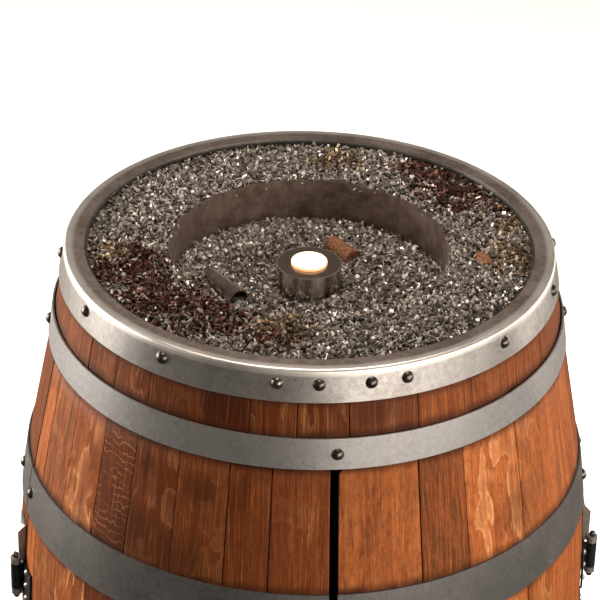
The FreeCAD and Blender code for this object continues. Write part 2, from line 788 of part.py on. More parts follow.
def barrel_shapes():
    """Nodes of the fixed staves, heads and hoops, with the hinge leaves and pins of the barrel."""
    shapes, bores = shelf_shapes()
    cap = rim()
    quarter = quarter_hoop()
    bilge = bilge_hoop(rear_edge_angle, FULL_TURN - rear_edge_angle)

    rim_offset = hoop_clearance + rim_thickness + rivet_seat / 2
    rim_rivet_height = barrel_height - rim_rivet_drop
    rim_spots = [(angle, rim_rivet_height, rim_offset) for angle in rim_rivet_angles]
    rim_rivets, rim_bores = fasteners(rivet, rim_spots)
    foot_bores = [mirrored_height(bore) for bore in rim_bores]
    quarter_offset = hoop_clearance + hoop_thickness + quarter_hoop_flare / 2 + rivet_seat
    quarter_height = quarter_hoop_bottom + quarter_hoop_width / 2
    bilge_offset = hoop_clearance + hoop_thickness + rivet_seat / 2
    spots = [(angle, quarter_height, quarter_offset) for angle in quarter_rivet_angles]
    spots += [(angle, mid_height + bilge_hoop_rise, bilge_offset) for angle in rear_bilge_rivet_angles]
    upper_rivets, upper_bores = fasteners(rivet, spots)
    lower_bores = [mirrored_height(bore) for bore in upper_bores]
    hoop_bores = upper_bores + lower_bores
    bores = bores + rim_bores + foot_bores + hoop_bores

    hinge_screws = []
    pins = []
    for name, bottom in (("upper", upper_hinge_bottom), ("lower", lower_hinge_bottom)):
        leaf, leaf_screws, leaf_bores = hinge_leaf(bottom, barrel_leaf_height, 1, barrel_knuckles)
        pin = hinge_pin(bottom)
        shapes["right_" + name + "_hinge_barrel_leaf"] = [leaf]
        shapes["left_" + name + "_hinge_barrel_leaf"] = [across(leaf)]
        pins += [pin, across(pin)]
        hinge_screws += leaf_screws + [across(shape) for shape in leaf_screws]
        bores += leaf_bores + [across(shape) for shape in leaf_bores]

    full_face = skin_face(stave_bottom, stave_top, -stave_thickness, 0)
    header_face = skin_face(header_bottom, stave_top, -stave_thickness, 0)
    footer_face = skin_face(stave_bottom, footer_top, -stave_thickness, 0)
    cuts = bores + [ring(face) for face in (croze_face(top_head_bottom), croze_face(bottom_head_lift),
                                            foot_bevel_face())]
    rear_joints = even_joints(rear_edge_angle, FULL_TURN - rear_edge_angle, rear_stave_count)
    header_joints = [-rear_edge_angle] + list(header_joint_angles) + [rear_edge_angle]
    footer_joints = even_joints(-rear_edge_angle, rear_edge_angle, footer_stave_count)
    shapes.update({
        "rear_staves": drilled(staves(full_face, rear_joints), cuts),
        "header_staves": drilled(staves(header_face, header_joints), cuts),
        "footer_staves": drilled(staves(footer_face, footer_joints), cuts),
        "top_head": head(top_head_bottom),
        "bottom_head": head(bottom_head_lift),
        "rim_hoop": drilled([cap], rim_bores),
        "foot_hoop": drilled([mirrored_height(cap)], foot_bores),
        "upper_quarter_hoop": drilled([quarter], hoop_bores),
        "lower_quarter_hoop": drilled([mirrored_height(quarter)], hoop_bores),
        "rear_upper_bilge_hoop": drilled([bilge], hoop_bores),
        "rear_lower_bilge_hoop": drilled([mirrored_height(bilge)], hoop_bores),
        "rim_rivets": rim_rivets,
        "foot_rivets": [mirrored_height(shape) for shape in rim_rivets],
        "hoop_rivets": upper_rivets + [mirrored_height(shape) for shape in upper_rivets],
        "hinge_screws": hinge_screws,
        "hinge_pins": pins,
    })
    return shapes


def across(shape):
    """The same shape on the other side of the cabinet."""
    return shape.mirror(CENTRE, SIDEWAYS)


nodes = barrel_shapes()
nodes.update(display_shapes())
nodes.update(lamp_shapes())
for name, solids in door_shapes(right_door_joint_angles).items():
    nodes["right_" + name] = solids
for name, solids in door_shapes(left_door_joint_angles).items():
    nodes["left_" + name] = [across(solid) for solid in solids]

os.makedirs("parts", exist_ok=True)
for name, solids in nodes.items():
    shape = solids[0] if len(solids) == 1 else Part.makeCompound(solids)
    shape.exportStep("parts/" + name + ".step")
print(len(nodes), "nodes")
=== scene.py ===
import random
from math import asin, cos, pi, radians, sin, sqrt, tan

import bmesh
import bpy
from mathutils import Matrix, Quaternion, Vector


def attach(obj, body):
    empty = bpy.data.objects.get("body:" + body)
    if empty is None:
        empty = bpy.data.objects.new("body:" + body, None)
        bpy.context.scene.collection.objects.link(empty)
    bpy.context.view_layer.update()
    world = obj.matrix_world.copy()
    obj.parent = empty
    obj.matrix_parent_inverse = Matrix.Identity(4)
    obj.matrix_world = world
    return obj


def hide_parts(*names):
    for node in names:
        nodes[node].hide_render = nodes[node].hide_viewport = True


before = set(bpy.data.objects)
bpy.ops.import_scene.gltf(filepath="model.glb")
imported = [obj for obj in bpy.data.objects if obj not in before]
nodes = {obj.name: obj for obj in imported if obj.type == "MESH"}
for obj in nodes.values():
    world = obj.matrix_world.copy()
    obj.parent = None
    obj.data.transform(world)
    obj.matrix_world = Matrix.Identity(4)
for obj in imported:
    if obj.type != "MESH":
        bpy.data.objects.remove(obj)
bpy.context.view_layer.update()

# Sizes of the barrel, in metres, the same as in the solids
BARREL_HEIGHT = 0.95
MID_HEIGHT = BARREL_HEIGHT / 2
BILGE_RADIUS = 0.355
BEND_RADIUS = 1.28
BEND_HALF_HEIGHT = 0.24
BEND_ANGLE = asin(BEND_HALF_HEIGHT / BEND_RADIUS)
STAVE_THICKNESS = 0.022
STAVE_BOTTOM, STAVE_TOP = 0.003, 0.9455
HEADER_BOTTOM, FOOTER_TOP = 0.834, 0.116
DOOR_BOTTOM, DOOR_TOP = 0.119, 0.831
HOOP_CLEARANCE = 0.0003
RIM_THICKNESS = 0.003
RIM_BAND = 0.038
RIM_FLANGE = 0.0235
RIM_CORNER = 0.0045

# Sizes of the display top, in metres, the same as in the solids
WELL_RADIUS = 0.1655
RING_THICKNESS = 0.003
LAMP_RADIUS = 0.039
LAMP_TOP = 0.9201
MOUND_HEIGHT = 0.004
OUTER_MOUNDS = {"middle": 0.2162, "spread": 0.0398, "count": 16, "start": radians(21.2)}
WELL_MOUNDS = {"middle": 0.1023, "spread": 0.0378, "count": 8, "start": radians(31.7)}

# Sizes that only the looks have, in metres
DOOR_CORNER = 0.007
SEAM_GAP_LEAST, SEAM_GAP_MORE = 0.0001, 0.0004
SEAM_CORNER_LEAST, SEAM_CORNER_MORE = 0.0004, 0.0009
OUTER_GROUND, WELL_GROUND = 0.9395, 0.8880
OUTER_GROUND_RADIUS = 0.2636
GROUND_CLEARANCE = 0.0005
HEAP_HEIGHT, HEAP_REACH = 0.004, 0.03

# Where the outer chips are heaped over the ring, in radians from the front
HEAP_BEARING = 0.5

# Angles of the stave joints, in degrees from the front
SIDE_GAP = 0.2421
DOOR_HALF = 80.25
CENTRE_GAP = 0.807
HEADER_JOINTS = (-62.3, -52.5, -42.4, -28.4, -18.2, -8.1, 3.1, 18.6, 31.2, 46.7, 58.3, 72.3)
LEFT_JOINTS = (-73.8, -63.3, -52.9, -43.7, -32.9, -21.7, -12.7)
RIGHT_JOINTS = (18.1, 28.9, 44.4, 53.3, 63.5, 73.5)

# Character of each front stave, from left to right: how light it is, its figure (1 is flames of ray
# fleck, 2 is wavy lines), how streaky it is and how dark its seams are
# The header staves' low lightness is partly painted shade under the rim
HEADER_TRAITS = ((0.25, 0.1, 0.2, 0.4), (0.22, 0.2, 0.2, 0.3), (0.18, 0.3, 0.2, 0.3), (0.07, 0.1, 0.4, 0.3),
                 (0, 0, 0.5, 0.4), (0.09, 0.3, 0.2, 0.4), (0.1, 0.2, 0.2, 0.4), (0.14, 0.2, 0.2, 0.5),
                 (0.3, 0.1, 0.2, 0.3), (0.34, 0.1, 0.2, 0.2), (0.3, 0.1, 0.3, 0.2), (0.25, 0, 0.4, 0.2),
                 (0.25, 0, 0.2, 0.3))
# The left door's staves nearest the middle are kept dark partly as painted shade
LEFT_TRAITS = ((0.8, 0, 0.15, 0.5), (0.48, 0.25, 0.7, 0.3), (0.5, 1, 0.1, 0.25), (0.12, 2, 0.3, 0.4),
               (0.13, 0.25, 0.15, 0.6), (0.19, 0.15, 0.3, 0.5), (0.19, 0, 0.35, 0.9), (0.25, 0.1, 0.2, 0.3))
RIGHT_TRAITS = ((0.64, 0.15, 0.1, 0.8), (0.38, 0, 1, 0.6), (0.75, 1, 0.1, 0.35), (0.6, 0.4, 0.4, 0.2),
                (0.68, 0.1, 0.2, 0.2), (0.68, 0, 0.1, 0.2), (0.5, 0, 0.4, 0.3))

# Ranges of the same four traits for the staves that the photograph doesn't show
PLAIN_TRAITS = ((0.15, 0.6), (0, 0.4), (0, 0.6), (0.2, 0.6))

# What each point of a stave carries for the oak: its traits, and how near a dark seam it is
STAVE_LAYERS = ("lightness", "figure", "streaky", "edge")

# Dark stains on the front: angle in degrees, height and reach
STAINS = ((-42, 0.7, 0.07), (-31, 0.695, 0.06), (-28, 0.79, 0.03), (-23, 0.89, 0.05), (-9, 0.86, 0.04),
          (42, 0.72, 0.05), (8, 0.9, 0.04))

# Hoops that leave dirt and painted shade on the staves beside them
HOOPS_WITH_DIRT_AND_SHADE = ("rim_hoop", "upper_quarter_hoop", "left_door_upper_hoop", "left_door_lower_hoop",
               "lower_quarter_hoop", "foot_hoop")
DIRT_AND_SHADE_REACH = 0.013

# Drifts of coloured chips on the outer bed: x, y and reach of round patches, and their height
RUSTY_PATCHES = ((-0.215, -0.03, 0.075), (-0.185, -0.11, 0.085), (-0.12, -0.16, 0.07), (-0.05, -0.2, 0.05),
                 (0.2, 0.12, 0.08), (0.17, 0.19, 0.06))
AMBER_PATCHES = ((-0.045, -0.187, 0.045), (0.245, -0.04, 0.06), (0.24, 0.04, 0.05), (-0.24, 0.0, 0.03),
                 (0.06, 0.22, 0.04))
PATCH_HEIGHT = 0.942

# The photograph's camera: place and aim in metres, lens in millimetres, roll in degrees
CAMERA_PLACE = (-0.3165, -2.8225, 2.535)
CAMERA_AIM = (-0.0098, 0.0011, 0.8683)
CAMERA_LENS = 164.37
CAMERA_ROLL = 1.5347

# Point that every light is aimed at
LIGHT_TARGET = (0, 0, 0.8)

# Kinds of node that the materials use most. Their inputs go by number: a range has the value at 0, its
# limits at 1 and 2 and the new limits at 3 and 4; a mix has the share at 0, numbers at 2 and 3 and
# colours at 6 and 7
NOISE, RANGE, MIX = "ShaderNodeTexNoise", "ShaderNodeMapRange", "ShaderNodeMix"
MATH, VECTOR, ATTRIBUTE = "ShaderNodeMath", "ShaderNodeVectorMath", "ShaderNodeAttribute"
SOFT = {"interpolation_type": "SMOOTHSTEP"}
BLEND = {"output": 2, "data_type": "RGBA"}


# Helpers

def colour(code):
    """Linear colour with alpha from an sRGB hex code."""
    parts = [int(code[i:i + 2], 16) / 255 for i in (1, 3, 5)]
    linear = [c / 12.92 if c <= 0.04045 else ((c + 0.055) / 1.055) ** 2.4 for c in parts]
    return (*linear, 1)


def per_metre(size):
    """Scale of a pattern whose cells are this many millimetres across."""
    return 1000 / size


def add(tree, kind, inputs=None, output=0, **settings):
    """Adds a node with settings, sets or links its inputs, and gives one of its outputs."""
    node = tree.nodes.new(kind)
    for name, value in settings.items():
        setattr(node, name, value)
    for key, value in (inputs or {}).items():
        if isinstance(value, bpy.types.NodeSocket):
            tree.links.new(value, node.inputs[key])
        else:
            node.inputs[key].default_value = value
    return node.outputs[output] if node.outputs else node


def new_material(name):
    """Empty node material and its tree."""
    made = bpy.data.materials.new(name)
    made.use_nodes = True
    made.node_tree.nodes.clear()
    return made, made.node_tree


def shade(tree, **inputs):
    """Ends a material in one Principled shader."""
    named = {key.replace("_", " "): value for key, value in inputs.items()}
    shader = add(tree, "ShaderNodeBsdfPrincipled", named)
    add(tree, "ShaderNodeOutputMaterial", {"Surface": shader})


def axis_place(tree):
    """Place of the shaded point, its distance from the barrel's axis and its height."""
    place = add(tree, "ShaderNodeTexCoord", output="Object")
    level = add(tree, VECTOR, {0: place, 1: (1, 1, 0)}, operation="MULTIPLY")
    radius = add(tree, VECTOR, {0: level}, "Value", operation="LENGTH")
    height = add(tree, "ShaderNodeSeparateXYZ", {0: place}, "Z")
    return place, radius, height


def new_object(name, bm, materials):
    """Object from a bmesh, in place, with its materials."""
    bmesh.ops.recalc_face_normals(bm, faces=bm.faces)
    mesh = bpy.data.meshes.new(name)
    bm.to_mesh(mesh)
    bm.free()
    for made in materials:
        mesh.materials.append(made)
    made_object = bpy.data.objects.new(name, mesh)
    bpy.context.scene.collection.objects.link(made_object)
    return made_object


def skin_radius(height, offset=0):
    """Radius of the barrel's outer skin at a height, moved outwards by offset."""
    away = abs(height - MID_HEIGHT)
    reach = BEND_RADIUS + offset
    centre = BILGE_RADIUS - BEND_RADIUS
    if away <= reach * sin(BEND_ANGLE):
        return centre + sqrt(reach ** 2 - away ** 2)
    return centre + (reach - away * sin(BEND_ANGLE)) / cos(BEND_ANGLE)


def bearing(angle, distance, height):
    """Point at radians from the front, a distance from the axis."""
    return Vector((distance * sin(angle), -distance * cos(angle), height))


# Wood

def oak():
    """Old waxed oak: upright fibres, dark pores, streaks, and pale flames of ray fleck on some staves."""
    made, tree = new_material("waxed_oak")
    across_and_up = add(tree, "ShaderNodeUVMap", uv_map="stave")
    lightness, figure, streaky, edge = [add(tree, ATTRIBUTE, {}, "Fac", attribute_name=name)
                                        for name in STAVE_LAYERS]

    # The grain sways sideways by a few millimetres
    sway_scale = (per_metre(60), per_metre(140), 1)
    slow = add(tree, VECTOR, {0: across_and_up, 1: sway_scale}, operation="MULTIPLY")
    sway = add(tree, NOISE, {"Vector": slow, "Scale": 1.0, "Detail": 2.0})
    sway = add(tree, RANGE, {0: sway, 3: -0.006, 4: 0.006})
    sway = add(tree, "ShaderNodeCombineXYZ", {"X": sway})
    place = add(tree, VECTOR, {0: across_and_up, 1: sway}, operation="ADD")

    def grain(width, length, detail, distortion=0.0):
        """Noise of cells some millimetres wide, drawn out along the stave."""
        scale = (per_metre(width), per_metre(length), 1)
        scaled = add(tree, VECTOR, {0: place, 1: scale}, operation="MULTIPLY")
        return add(tree, NOISE, {"Vector": scaled, "Scale": 1.0, "Detail": detail, "Roughness": 0.6,
                                 "Distortion": distortion})

    tone = add(tree, MIX, {0: lightness, 6: colour("#421804"), 7: colour("#b86835")}, **BLEND)

    # Growth bands a finger wide
    bands = add(tree, RANGE, {0: grain(17, 600, 3, 0.4), 1: 0.35, 2: 0.7, 4: 0.5}, **SOFT)
    tone = add(tree, MIX, {0: bands, 6: tone, 7: colour("#5c280b")}, **BLEND)

    # Pale and dark fibres about 2 mm wide, drawn a little coarser than real so that they show
    fibres = grain(2.2, 110, 4)
    pale = add(tree, RANGE, {0: fibres, 1: 0.5, 2: 0.72, 4: 0.45}, **SOFT)
    tone = add(tree, MIX, {0: pale, 6: tone, 7: colour("#c27439")}, **BLEND)
    dark = add(tree, RANGE, {0: fibres, 1: 0.48, 2: 0.3, 4: 0.6}, **SOFT)
    tone = add(tree, MIX, {0: dark, 6: tone, 7: colour("#3c1907")}, **BLEND)

    # Fine uneven mottling of the old wax
    wax = add(tree, RANGE, {0: grain(5, 12, 4, 0.8), 1: 0.42, 2: 0.68, 4: 0.4}, **SOFT)
    tone = add(tree, MIX, {0: wax, 6: tone, 7: colour("#461c07")}, **BLEND)

    # Brown streaks of the streaky staves
    streaks = add(tree, RANGE, {0: grain(3.5, 55, 4, 0.7), 1: 0.45, 2: 0.6, 4: 0.75}, **SOFT)
    streaks = add(tree, MATH, {0: streaks, 1: streaky}, operation="MULTIPLY")
    tone = add(tree, MIX, {0: streaks, 6: tone, 7: colour("#4c2d13")}, **BLEND)

    # Ray fleck: faint flames, each ending in a thin pale rim, feathered by the fibres
    feather = add(tree, MATH, {0: fibres, 1: 0.6}, operation="MULTIPLY")
    steps = add(tree, MATH, {0: grain(34, 95, 1.5, 0.8), 1: 3.6, 2: feather}, operation="MULTIPLY_ADD")
    steps = add(tree, MATH, {0: steps}, operation="FRACT")
    body = add(tree, RANGE, {0: steps, 1: 0.2, 2: 0.95, 4: 0.26}, **SOFT)
    rim = add(tree, RANGE, {0: steps, 1: 0.86, 2: 0.96, 4: 0.34}, **SOFT)
    flames = add(tree, MATH, {0: body, 1: rim}, operation="ADD")
    where = add(tree, RANGE, {0: grain(45, 130, 2), 1: 0.32, 2: 0.52}, **SOFT)
    flamed = add(tree, MATH, {0: figure, 1: 1.0}, operation="PINGPONG")
    where = add(tree, MATH, {0: where, 1: flamed}, operation="MULTIPLY")
    flames = add(tree, MATH, {0: flames, 1: where}, operation="MULTIPLY")
    tone = add(tree, MIX, {0: flames, 6: tone, 7: colour("#dca06c")}, **BLEND)

    # Faint wavy lines across the staves whose figure is 2, about 9 mm apart
    up = add(tree, "ShaderNodeSeparateXYZ", {0: place}, "Y")
    wave = add(tree, MATH, {0: grain(17, 26, 2, 0.5), 1: 4.5}, operation="MULTIPLY")
    rows = add(tree, MATH, {0: up, 1: per_metre(4.5), 2: wave}, operation="MULTIPLY_ADD")
    rows = add(tree, MATH, {0: rows, 1: 1.0}, operation="PINGPONG")
    rows = add(tree, RANGE, {0: rows, 1: 0.3, 2: 0.02, 4: 0.34}, **SOFT)
    shown = add(tree, RANGE, {0: grain(24, 34, 2), 1: 0.4, 2: 0.6}, **SOFT)
    curly = add(tree, RANGE, {0: figure, 1: 1.0, 2: 2.0})
    shown = add(tree, MATH, {0: shown, 1: curly}, operation="MULTIPLY")
    rows = add(tree, MATH, {0: rows, 1: shown}, operation="MULTIPLY")
    tone = add(tree, MIX, {0: rows, 6: tone, 7: colour("#c99266")}, **BLEND)

    # Old stains, and the dirt and painted shade beside the hoops
    spot, _, above_floor = axis_place(tree)
    cloud = grain(60, 160, 3, 0.6)
    stains_dirt_and_shade = add(tree, RANGE, {0: cloud, 1: 0.54, 2: 0.8, 4: 0.6}, **SOFT)
    for angle, height, reach in STAINS:
        centre = bearing(radians(angle), skin_radius(height), height)
        away = add(tree, VECTOR, {0: spot, 1: centre}, "Value", operation="DISTANCE")
        near = add(tree, RANGE, {0: away, 1: reach, 2: reach * 0.2}, **SOFT)
        near = add(tree, MATH, {0: near, 1: cloud}, operation="MULTIPLY")
        stains_dirt_and_shade = add(tree, MATH, {0: stains_dirt_and_shade, 1: near}, operation="MAXIMUM")
    # Beside each hoop the wood is painted darker: partly dirt, partly painted shade along the hoop's edges
    for name in HOOPS_WITH_DIRT_AND_SHADE:
        heights = [vertex.co.z for vertex in nodes[name].data.vertices]
        half = (max(heights) - min(heights)) / 2
        away = add(tree, MATH, {0: above_floor, 1: min(heights) + half}, operation="SUBTRACT")
        away = add(tree, MATH, {0: away}, operation="ABSOLUTE")
        near = add(tree, RANGE, {0: away, 1: half + DIRT_AND_SHADE_REACH, 2: half, 4: 1.5}, **SOFT)
        near = add(tree, MATH, {0: near, 1: cloud}, operation="MULTIPLY")
        stains_dirt_and_shade = add(tree, MATH, {0: stains_dirt_and_shade, 1: near}, operation="MAXIMUM")
    tone = add(tree, MIX, {0: stains_dirt_and_shade, 6: tone, 7: colour("#2c1206")}, **BLEND)

    # Open pores, a few long checks and the dark joints
    pores = add(tree, RANGE, {0: grain(1.3, 18, 2), 1: 0.55, 2: 0.7, 4: 0.6}, **SOFT)
    tone = add(tree, MIX, {0: pores, 6: tone, 7: colour("#4a2413")}, **BLEND)
    checks = add(tree, RANGE, {0: grain(7, 330, 2, 0.4), 1: 0.71, 2: 0.74, 4: 0.85}, **SOFT)
    tone = add(tree, MIX, {0: checks, 6: tone, 7: colour("#1e0d06")}, **BLEND)
    joint = add(tree, RANGE, {0: edge, 1: 0.1, 2: 0.9}, **SOFT)
    tone = add(tree, MIX, {0: joint, 6: tone, 7: colour("#1f0e06")}, **BLEND)

    relief = add(tree, MATH, {0: fibres, 1: pores}, operation="SUBTRACT")
    relief = add(tree, MATH, {0: relief, 1: checks}, operation="SUBTRACT")
    bump = add(tree, "ShaderNodeBump", {"Strength": 0.35, "Distance": 0.0006, "Height": relief})
    rough = add(tree, RANGE, {0: fibres, 3: 0.52, 4: 0.72})
    shade(tree, Base_Color=tone, Roughness=rough, Normal=bump, Specular_IOR_Level=0.1)
    return made


def board_wood(name, dark, light):
    """Dull board wood of the inside, with a straight grain along X."""
    made, tree = new_material(name)
    place = add(tree, "ShaderNodeTexCoord", output="Object")
    scale = (per_metre(110), per_metre(6), per_metre(6))
    scaled = add(tree, VECTOR, {0: place, 1: scale}, operation="MULTIPLY")
    grain = add(tree, NOISE, {"Vector": scaled, "Scale": 1.0, "Detail": 5.0, "Distortion": 0.4})
    spread = add(tree, RANGE, {0: grain, 1: 0.3, 2: 0.7})
    tone = add(tree, MIX, {0: spread, 6: colour(dark), 7: colour(light)}, **BLEND)
    bump = add(tree, "ShaderNodeBump", {"Strength": 0.3, "Distance": 0.0005, "Height": grain})
    shade(tree, Base_Color=tone, Roughness=0.75, Normal=bump)
    return made


# Metals

def worn_steel(name, dark, light, dirt, rough, mottle=7, metal=0.85):
    """Worn steel: mottling some mm wide, broad clouds, specks of dirt and a few bright curved scratches."""
    made, tree = new_material(name)
    place = add(tree, "ShaderNodeTexCoord", output="Object")
    fine = add(tree, NOISE, {"Vector": place, "Scale": per_metre(mottle), "Detail": 5.0, "Roughness": 0.7})
    broad = add(tree, NOISE, {"Vector": place, "Scale": per_metre(9 * mottle), "Detail": 3.0})
    mixed = add(tree, MIX, {0: 0.45, 2: fine, 3: broad}, data_type="FLOAT")
    cloudy = add(tree, RANGE, {0: mixed, 1: 0.36, 2: 0.64}, **SOFT)
    tone = add(tree, MIX, {0: cloudy, 6: colour(dark), 7: colour(light)}, **BLEND)
    specks = add(tree, NOISE, {"Vector": place, "Scale": per_metre(4), "Detail": 3.0})
    spotted = add(tree, RANGE, {0: specks, 1: 0.66, 2: 0.78}, **SOFT)
    tone = add(tree, MIX, {0: spotted, 6: tone, 7: colour(dirt)}, **BLEND)

    # Scratches lie where a slow noise crosses its middle, on the clouds' light side
    paths = add(tree, NOISE, {"Vector": place, "Scale": per_metre(38), "Detail": 1.0, "Distortion": 1.2})
    paths = add(tree, MATH, {0: paths, 1: 0.5}, operation="SUBTRACT")
    paths = add(tree, MATH, {0: paths}, operation="ABSOLUTE")
    scratches = add(tree, RANGE, {0: paths, 1: 0.006, 2: 0.001, 4: 0.5}, **SOFT)
    bare = add(tree, RANGE, {0: broad, 1: 0.52, 2: 0.62}, **SOFT)
    scratches = add(tree, MATH, {0: scratches, 1: bare}, operation="MULTIPLY")
    tone = add(tree, MIX, {0: scratches, 6: tone, 7: colour("#d9d4ce")}, **BLEND)

    roughness = add(tree, RANGE, {0: mixed, 1: 0.3, 2: 0.7, 3: rough + 0.08, 4: rough - 0.06})
    bump = add(tree, "ShaderNodeBump", {"Strength": 0.2, "Distance": 0.0003, "Height": fine})
    shade(tree, Base_Color=tone, Metallic=metal, Roughness=roughness, Normal=bump)
    return made


def rim_steel():
    """Rim of bare rolled steel: brushed band, corner rubbed bright by hands with a painted soft highlight
    over it, dull dusty flange.
    """
    made, tree = new_material("rubbed_and_highlit_rim_steel")
    place, radius, height = axis_place(tree)
    from_middle = add(tree, MATH, {0: height, 1: MID_HEIGHT}, operation="SUBTRACT")
    from_middle = add(tree, MATH, {0: from_middle}, operation="ABSOLUTE")
    fine = add(tree, NOISE, {"Vector": place, "Scale": per_metre(7), "Detail": 5.0, "Roughness": 0.7})
    broad = add(tree, NOISE, {"Vector": place, "Scale": per_metre(55), "Detail": 4.0})
    specks = add(tree, NOISE, {"Vector": place, "Scale": per_metre(4), "Detail": 3.0})
    mixed = add(tree, MIX, {0: 0.5, 2: fine, 3: broad}, data_type="FLOAT")
    cloudy = add(tree, RANGE, {0: mixed, 1: 0.36, 2: 0.64}, **SOFT)

    # Wear and a painted soft highlight come in over the last millimetres before the corner, and the rest of
    # the flat top is the flange
    corner = skin_radius(BARREL_HEIGHT)
    outwards = add(tree, RANGE, {0: radius, 1: corner - 0.009, 2: corner - 0.002}, **SOFT)
    upwards = add(tree, RANGE, {0: from_middle, 1: MID_HEIGHT - 0.0095, 2: MID_HEIGHT - 0.0055}, **SOFT)
    wear_and_highlight = add(tree, MATH, {0: outwards, 1: upwards}, operation="MULTIPLY")
    flat = add(tree, RANGE, {0: from_middle, 1: MID_HEIGHT - 0.0008, 2: MID_HEIGHT - 0.0003}, **SOFT)
    flange = add(tree, MATH, {0: flat, 1: wear_and_highlight}, operation="SUBTRACT", use_clamp=True)

    band = add(tree, MIX, {0: cloudy, 6: colour("#96908b"), 7: colour("#bebab5")}, **BLEND)
    dull = add(tree, MIX, {0: cloudy, 6: colour("#60554d"), 7: colour("#83776f")}, **BLEND)
    tone = add(tree, MIX, {0: flange, 6: band, 7: dull}, **BLEND)
    spotted = add(tree, RANGE, {0: specks, 1: 0.64, 2: 0.76, 4: 0.8}, **SOFT)
    tone = add(tree, MIX, {0: spotted, 6: tone, 7: colour("#4d4139")}, **BLEND)
    # The corner is painted pale: partly bare rubbed metal, partly a painted highlight
    worn_and_highlit = add(tree, RANGE, {0: broad, 1: 0.3, 2: 0.6, 3: 0.55, 4: 1.0})
    worn_and_highlit = add(tree, MATH, {0: worn_and_highlit, 1: wear_and_highlight}, operation="MULTIPLY")
    tone = add(tree, MIX, {0: worn_and_highlit, 6: tone, 7: colour("#cfc8c0")}, **BLEND)
    roughness = add(tree, RANGE, {0: mixed, 1: 0.3, 2: 0.7, 3: 0.37, 4: 0.27})
    roughness = add(tree, MIX, {0: flange, 2: roughness, 3: 0.55}, data_type="FLOAT")
    roughness = add(tree, MIX, {0: worn_and_highlit, 2: roughness, 3: 0.42}, data_type="FLOAT")
    bump = add(tree, "ShaderNodeBump", {"Strength": 0.2, "Distance": 0.0003, "Height": fine})
    shade(tree, Base_Color=tone, Metallic=0.85, Roughness=roughness, Normal=bump)
    return made


def lamp_steel():
    """Dark steel of the lamp, brushed upright, with broad light and dark streaks that are partly painted
    reflections; its top edge is rubbed bright and carries a painted highlight.
    """
    made, tree = new_material("brushed_lamp_steel")
    place, radius, height = axis_place(tree)
    brush = (per_metre(11), per_metre(11), per_metre(300))
    scaled = add(tree, VECTOR, {0: place, 1: brush}, operation="MULTIPLY")
    streaks = add(tree, NOISE, {"Vector": scaled, "Scale": 1.0, "Detail": 1.5})
    # The streaks' light and dark tones are partly patina, partly painted reflections
    patina_and_painted_reflections = add(tree, RANGE, {0: streaks, 1: 0.35, 2: 0.7}, **SOFT)
    tone = add(tree, MIX, {0: patina_and_painted_reflections, 6: colour("#5f5045"), 7: colour("#d0c3b7")}, **BLEND)
    # A painted highlight along the top edge, over bright rubbed metal
    outwards = add(tree, RANGE, {0: radius, 1: LAMP_RADIUS - 0.0012, 2: LAMP_RADIUS - 0.0003})
    upwards = add(tree, RANGE, {0: height, 1: LAMP_TOP - 0.0011, 2: LAMP_TOP - 0.0002})
    edge = add(tree, MATH, {0: outwards, 1: upwards}, operation="MULTIPLY")
    tone = add(tree, MIX, {0: upwards, 6: tone, 7: colour("#9a897c")}, **BLEND)
    tone = add(tree, MIX, {0: edge, 6: tone, 7: colour("#f0e8de")}, **BLEND)
    roughness = add(tree, RANGE, {0: streaks, 3: 0.14, 4: 0.3})
    bump = add(tree, "ShaderNodeBump", {"Strength": 0.2, "Distance": 0.0002, "Height": streaks})
    shade(tree, Base_Color=tone, Metallic=0.9, Roughness=roughness, Normal=bump)
    return made


# Lens, chips, cork and the lamp's inside

def lit_lens():
    """Opal plastic lens lit from below: white on top, cream towards its edge, amber low on its side."""
    made, tree = new_material("lit_opal_lens")
    _, radius, height = axis_place(tree)
    cream_radius, white_radius = 0.0215, 0.015
    amber_height, white_height = 0.9224, 0.9238
    inwards = add(tree, RANGE, {0: radius, 1: cream_radius, 2: white_radius}, **SOFT)
    rise = add(tree, RANGE, {0: height, 1: amber_height, 2: white_height}, **SOFT)
    face = add(tree, MIX, {0: inwards, 6: colour("#ffe2b4"), 7: colour("#fff3de")}, **BLEND)
    glow = add(tree, MIX, {0: rise, 6: colour("#d07a2c"), 7: face}, **BLEND)
    strength = add(tree, RANGE, {0: inwards, 3: 1.25, 4: 2.6})
    shade(tree, Base_Color=colour("#f2e4cc"), Roughness=0.35, Emission_Color=glow,
          Emission_Strength=strength)
    return made


